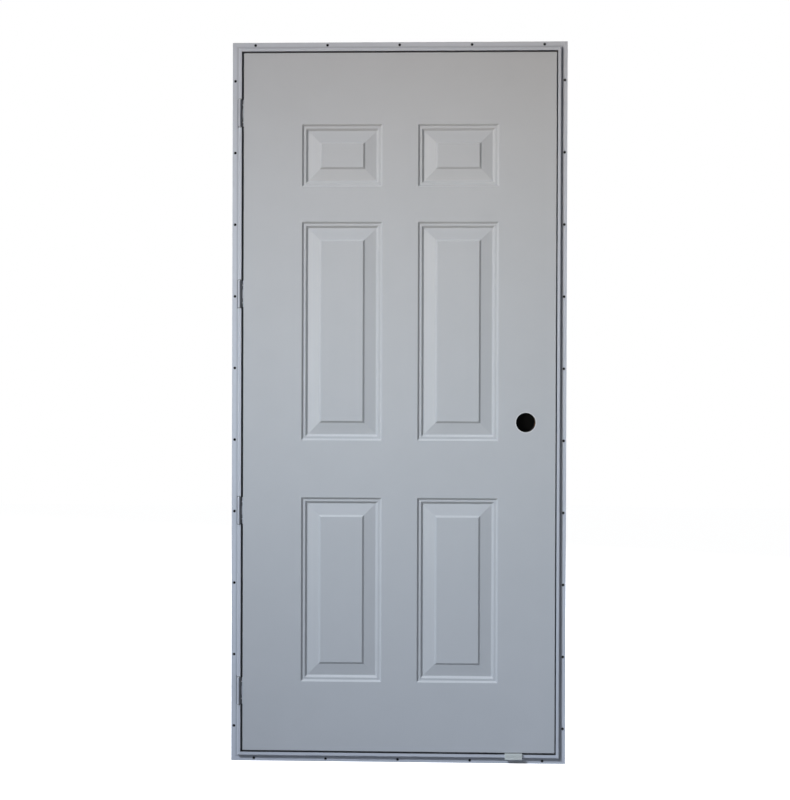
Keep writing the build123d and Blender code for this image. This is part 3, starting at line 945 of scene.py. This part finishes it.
class DOOR_OT_finish_hinges(bpy.types.Operator):
    """Paint the hinge leaves, with painted shade on them behind the barrels, and finish their pins and
    screws
    """

    bl_idname = "door.finish_hinges"
    bl_label = "Finish the hinges"

    def execute(self, context):
        finishes = context.scene.door_finishes
        hardware = context.scene.door_hardware
        numbers = range(1, hinge_count + 1)
        pins = [f"hinge_{number}_pin" for number in numbers]
        leaves = [f"hinge_{number}_{side}_leaf" for number in numbers for side in ("frame", "door")]
        low, high = corners_of(pins[0])
        # Painted shade on the hinge leaves behind the barrels, where they lie in the shaded gap
        strap_shade = {"Front": (low.y + high.y) / 2 + hardware.strap_shade_depth, "Fade": hardware.shade_fade_depth}
        paint = enamel("Hinge enamel", finishes.frame_paint, finishes, ripples=700.0, dust_and_highlight=0.3)
        painted_light_over(paint, effect(paint.node_tree, "Joint shade", strap_shade)["Mask"], finishes.painted_shade)
        paint_nodes(leaves, paint)
        zinc = plated("Zinc plated steel", finishes.steel, finishes, smooth=0.26, rough=0.46)
        paint_nodes([*pins, "frame_screws", "door_screws"], zinc)
        rise = hardware.button_rise
        profile = [(across * hardware.button_radius, up * rise) for across, up in button_profile_shares]
        buttons = bmesh.new()
        for pin in pins:
            low, high = corners_of(pin)
            middle = (low + high) / 2
            lathe(buttons, profile, (middle.x, middle.y, high.z - rise), (0, 0, 1))
            lathe(buttons, profile, (middle.x, middle.y, low.z + rise), (0, 0, -1))
        for face in buttons.faces:
            face.smooth = True
        finish_piece(buttons, "hinge_pin_buttons", "frame", zinc)
        return {"FINISHED"}


class DOOR_OT_finish_seals(bpy.types.Operator):
    """Finish the weather seals and set a near-black disc in the empty lockset bore as painted shade"""

    bl_idname = "door.finish_seals"
    bl_label = "Finish the seals"

    def execute(self, context):
        finishes = context.scene.door_finishes
        hardware = context.scene.door_hardware
        rubber = seal_rubber("Seal rubber", finishes.rubber, finishes, gloss=0.5)
        paint_nodes(("head_seal", "sill_seal", "strike_seal", "hinge_seal"), rubber)
        # Painted shade: a near-black disc inside the empty bore stands in for the shade seen through it
        radius = bore_radius - hardware.shade_disc_clearance
        thick = hardware.shade_disc_thickness
        profile = [(across * radius, up * thick) for across, up in shade_disc_profile_shares]
        base = (bore_center.x, body_high.y - hardware.shade_disc_inset - thick, bore_center.z)
        shade_disc = bmesh.new()
        lathe(shade_disc, profile, base, (0, 1, 0), bore_segments)
        black = seal_rubber("Bore shade disc", finishes.bore_shade_black, finishes, gloss=0.05)
        finish_piece(shade_disc, "lockset_bore_shade_disc", "door", black)
        return {"FINISHED"}


class DOOR_OT_finish_clip(bpy.types.Operator):
    """Finish the moulded clip on the sill"""

    bl_idname = "door.finish_clip"
    bl_label = "Finish the clip"

    def execute(self, context):
        paint_nodes(("sill_clip",), moulded_plastic("Clip plastic", context.scene.door_finishes))
        return {"FINISHED"}


# Stage
def white_to_camera(tree):
    """One for the rays that show the backdrop: camera, glossy or through glass."""
    path = add_node(tree, "ShaderNodeLightPath").outputs
    glossy = math_node(tree, "MAXIMUM", path["Is Camera Ray"], path["Is Glossy Ray"])
    return math_node(tree, "MAXIMUM", glossy, path["Is Transmission Ray"])


def empty_tree(owner):
    """The node tree of a material or world with no nodes in it."""
    owner.use_nodes = True
    owner.node_tree.nodes.clear()
    return owner.node_tree


def mixed_output(tree, kind, factor, first, second):
    """Ends a tree with two shaders mixed by a factor."""
    inputs = {0: factor, 1: first.outputs[0], 2: second.outputs[0]}
    mix = add_node(tree, "ShaderNodeMixShader", inputs)
    add_node(tree, kind, {"Surface": mix.outputs[0]})


def floor_material(stage):
    """Pale floor: white to the camera, with the object's shadow kept."""
    material = bpy.data.materials.new("Pale floor")
    tree = empty_tree(material)
    glow = add_node(tree, "ShaderNodeEmission", {"Strength": stage.floor_glow})
    lit = add_node(tree, "ShaderNodeBsdfDiffuse", {"Color": opaque(stage.floor_colour)})
    shown = add_node(tree, "ShaderNodeAddShader", {0: glow.outputs[0], 1: lit.outputs[0]})
    bounce = add_node(tree, "ShaderNodeBsdfDiffuse", {"Color": opaque(stage.floor_bounce)})
    mixed_output(tree, "ShaderNodeOutputMaterial", white_to_camera(tree), bounce, shown)
    return material


def shade_material(stage):
    """Dark card seen from the front only, that casts no shadow: painted shade behind the flange's holes.
    """
    material = bpy.data.materials.new("Dark card")
    tree = empty_tree(material)
    behind = add_node(tree, "ShaderNodeNewGeometry").outputs["Backfacing"]
    shadow = add_node(tree, "ShaderNodeLightPath").outputs["Is Shadow Ray"]
    unseen = math_node(tree, "MAXIMUM", behind, shadow)
    dark = add_node(tree, "ShaderNodeBsdfDiffuse", {"Color": opaque(stage.shade_colour)})
    clear = add_node(tree, "ShaderNodeBsdfTransparent")
    mixed_output(tree, "ShaderNodeOutputMaterial", unseen, dark, clear)
    return material


def backdrop_world(stage):
    """White to the camera, and a low soft light for everything else."""
    world = bpy.data.worlds.new("White backdrop")
    tree = empty_tree(world)
    soft = {"Color": opaque(stage.ambient_colour), "Strength": stage.ambient}
    ambient = add_node(tree, "ShaderNodeBackground", soft)
    plain = {"Color": (1.0, 1.0, 1.0, 1.0), "Strength": 1.0}
    white = add_node(tree, "ShaderNodeBackground", plain)
    mixed_output(tree, "ShaderNodeOutputWorld", white_to_camera(tree), ambient, white)
    return world


def stage_mesh(name, corners, faces, material):
    """A flat piece of the stage."""
    mesh = bpy.data.meshes.new(name)
    mesh.from_pydata(corners, [], faces)
    mesh.materials.append(material)
    piece = placed(name, mesh)
    piece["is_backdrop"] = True


def add_lamp(name, kind, tint, energy):
    """A lamp of this kind in the scene."""
    lamp = bpy.data.lights.new(name, kind)
    lamp.color = tint
    lamp.energy = energy
    return placed(name, lamp)


def add_panel(name, tint, energy, size):
    """A flat soft lamp of this size."""
    holder = add_lamp(name, "AREA", tint, energy)
    holder.data.shape = "RECTANGLE"
    holder.data.size = size[0]
    holder.data.size_y = size[1]
    return holder


class DOOR_OT_set_stage(bpy.types.Operator):
    """Set the camera, lamps, floor and backdrop"""

    bl_idname = "door.set_stage"
    bl_label = "Set the stage"

    def execute(self, context):
        stage = context.scene.door_stage
        context.scene.world = backdrop_world(stage)
        context.scene.view_settings.view_transform = "Standard"
        self.lay_floor(stage)
        self.lay_shades(stage)
        self.hang_lamps(stage)
        self.place_camera(context.scene, stage)
        return {"FINISHED"}

    def lay_floor(self, stage):
        """The floor under the sill."""
        reach = stage.floor_size / 2
        level = frame_low.z - stage.floor_drop
        sides = ((-1, -1), (1, -1), (1, 1), (-1, 1))
        corners = [(across * reach, along * reach, level) for across, along in sides]
        stage_mesh("floor", corners, [(0, 1, 2, 3)], floor_material(stage))

    def lay_shades(self, stage):
        """Painted shade: a dark strip behind the flange's holes, so that they read dark on white."""
        outer = stage.shade_inset
        corners = []
        for inset in (outer, outer + stage.shade_width):
            sides = (frame_low.x + inset, frame_high.x - inset)
            levels = (frame_low.z + inset, frame_high.z - inset)
            for across, up in ((0, 0), (1, 0), (1, 1), (0, 1)):
                corners.append((sides[across], stage.shade_gap, levels[up]))
        faces = [(side, (side + 1) % 4, (side + 1) % 4 + 4, side + 4) for side in range(4)]
        stage_mesh("hole_shade", corners, faces, shade_material(stage))

    def hang_lamps(self, stage):
        """Three soft keys from the left, a weak front fill and a lamp for the back."""
        tints = (stage.low_key, stage.middle_key, stage.high_key)
        names = ("Low key lamp", "Middle key lamp", "High key lamp")
        for number, name in enumerate(names):
            key = add_lamp(name, "SPOT", tints[number], stage.key_powers[number])
            key.data.spot_size = stage.key_cones[number]
            key.data.spot_blend = 1.0
            key.data.shadow_soft_size = stage.key_radius
            aim = Vector((stage.key_middles[number], slab_low.y, stage.key_heights[number]))
            slope = Vector((-stage.key_slopes[number], -1, stage.key_rises[number]))
            away = slope * stage.key_distance
            key.location = aim + away
            key.rotation_euler = away.to_track_quat("Z", "Y").to_euler()
            key.scale = (stage.key_stretches[number], 1, 1)
        front = add_panel("Front lamp", stage.front_colour, stage.front_power, stage.front_size)
        front.location = stage.front_place
        front.rotation_euler = (pi / 2, 0, 0)
        back = add_panel("Back lamp", stage.back_colour, stage.back_power, stage.back_size)
        back.location = stage.back_place
        away = Vector(stage.back_place) - Vector(stage.back_aim)
        back.rotation_euler = away.to_track_quat("Z", "Y").to_euler()

    def place_camera(self, scene, stage):
        """The camera at the viewing angle."""
        camera = bpy.data.cameras.new("Camera")
        camera.sensor_fit = "HORIZONTAL"
        camera.lens = stage.camera_lens
        holder = placed("Camera", camera)
        pitch, roll, yaw = stage.camera_turn
        turn = Matrix.Rotation(-yaw, 4, "Z") @ Matrix.Rotation(pi / 2 + pitch, 4, "X")
        turn = turn @ Matrix.Rotation(roll, 4, "Z")
        holder.matrix_world = Matrix.Translation(stage.camera_place) @ turn
        scene.camera = holder


class DOOR_PT_dressing(bpy.types.Panel):
    """Sidebar panel with the door's dressing steps"""

    bl_idname = "DOOR_PT_dressing"
    bl_label = "Door dressing"
    bl_space_type = "VIEW_3D"
    bl_region_type = "UI"
    bl_category = "Door"

    def draw(self, context):
        for operator in operators:
            self.layout.operator(operator.bl_idname)


settings = {
    "door_pressing": PressingSizes,
    "door_finishes": Finishes,
    "door_hardware": HardwareSizes,
    "door_stage": StageSettings,
}
operators = (
    DOOR_OT_paint_frame,
    DOOR_OT_press_skins,
    DOOR_OT_finish_core,
    DOOR_OT_finish_hinges,
    DOOR_OT_finish_seals,
    DOOR_OT_finish_clip,
    DOOR_OT_set_stage,
)


def register():
    """Registers the settings, the operators and the panel."""
    for name, group in settings.items():
        bpy.utils.register_class(group)
        setattr(bpy.types.Scene, name, PointerProperty(type=group))
    for operator in operators:
        bpy.utils.register_class(operator)
    bpy.utils.register_class(DOOR_PT_dressing)


def unregister():
    """Takes the panel, the operators and the settings away."""
    bpy.utils.unregister_class(DOOR_PT_dressing)
    for operator in reversed(operators):
        bpy.utils.unregister_class(operator)
    for name, group in settings.items():
        delattr(bpy.types.Scene, name)
        bpy.utils.unregister_class(group)


def main():
    """Registers the add-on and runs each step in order."""
    register()
    bpy.ops.door.paint_frame()
    bpy.ops.door.press_skins()
    bpy.ops.door.finish_core()
    bpy.ops.door.finish_hinges()
    bpy.ops.door.finish_seals()
    bpy.ops.door.finish_clip()
    bpy.ops.door.set_stage()


if __name__ == "__main__":
    main()
